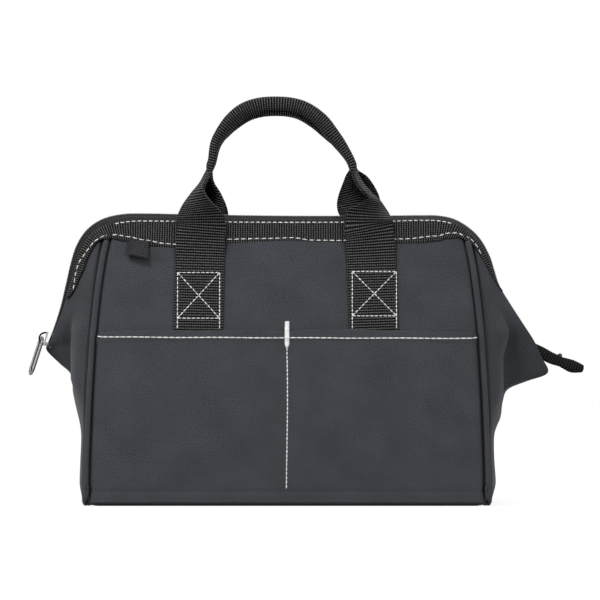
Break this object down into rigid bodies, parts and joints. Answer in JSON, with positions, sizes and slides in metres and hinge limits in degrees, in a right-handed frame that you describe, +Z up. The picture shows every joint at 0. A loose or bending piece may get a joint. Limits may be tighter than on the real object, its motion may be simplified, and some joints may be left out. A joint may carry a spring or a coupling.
{
  "type": "zippered tool bag",
  "caption": "Soft tool bag with leaning front and rear walls, folded ends, a wide zipped mouth, an outer pocket and webbing carry handles.",
  "frame": {"origin": "centre of the base's underside", "axes": "+X to the bag's right as seen from the front, -Y the front, +Z up"},
  "size_m": [0.428, 0.1932, 0.3182],
  "materials": {
    "body_cloth": "woven polyester",
    "webbing": "ribbed webbing",
    "piping": "covered cord",
    "zip_tape": "woven tape",
    "zip_coil": "nylon coil",
    "frame_steel": "bare wire",
    "slider_metal": "nickel plate",
    "pull_metal": "dark nickel plate",
    "base_board": "sheet"
  },
  "bodies": {
    "base": {"bottom_panel": "body_cloth", "base_board": "base_board", "left_base_piping": "piping", "right_base_piping": "piping", "left_end_panel": "body_cloth", "right_end_panel": "body_cloth", "zip_tail": "zip_tape", "zip_tail_tab": "webbing", "zip_stop": "slider_metal"},
    "front_wall": {"front_panel": "body_cloth", "front_left_piping": "piping", "front_right_piping": "piping", "front_pocket": "body_cloth", "front_mouth_band": "webbing", "cloth_tab": "body_cloth", "front_left_strap": "webbing", "front_right_strap": "webbing", "front_zip_tape": "zip_tape", "front_zip_coil": "zip_coil", "front_frame": "frame_steel", "front_left_wing": "body_cloth", "front_right_wing": "body_cloth"},
    "rear_wall": {"rear_panel": "body_cloth", "rear_left_piping": "piping", "rear_right_piping": "piping", "rear_pocket": "body_cloth", "rear_mouth_band": "webbing", "rear_left_strap": "webbing", "rear_right_strap": "webbing", "rear_zip_tape": "zip_tape", "rear_zip_coil": "zip_coil", "rear_frame": "frame_steel", "rear_left_wing": "body_cloth", "rear_right_wing": "body_cloth"},
    "front_handle": {"front_handle_grip": "webbing"},
    "rear_handle": {"rear_handle_grip": "webbing"},
    "zip_slider": {"slider_body": "slider_metal", "slider_bail": "slider_metal"},
    "zip_pull": {"pull_ring": "pull_metal"}
  },
  "joints": [
    {"name": "front_wall_open", "type": "hinge", "parent": "base", "child": "front_wall", "pos_m": [0, -0.0938, 0.0035], "axis": [1, 0, 0], "range_deg": [0, 24]},
    {"name": "rear_wall_open", "type": "hinge", "parent": "base", "child": "rear_wall", "pos_m": [0, 0.0938, 0.0035], "axis": [-1, 0, 0], "range_deg": [0, 24]},
    {"name": "front_handle_swing", "type": "hinge", "parent": "front_wall", "child": "front_handle", "pos_m": [0, -0.02125, 0.2179], "axis": [1, 0, 0], "range_deg": [0, 140]},
    {"name": "rear_handle_swing", "type": "hinge", "parent": "rear_wall", "child": "rear_handle", "pos_m": [0, 0.02125, 0.2179], "axis": [-1, 0, 0], "range_deg": [0, 140]},
    {"name": "zip_slide", "type": "slide", "parent": "base", "child": "zip_slider", "axis": [0.271, 0, 0.9626], "range_m": [0, 0.05]},
    {"name": "pull_swing", "type": "hinge", "parent": "zip_slider", "child": "zip_pull", "pos_m": [-0.19104, 0, 0.12745], "axis": [0, 1, 0], "range_deg": [0, 130]}
  ]
}
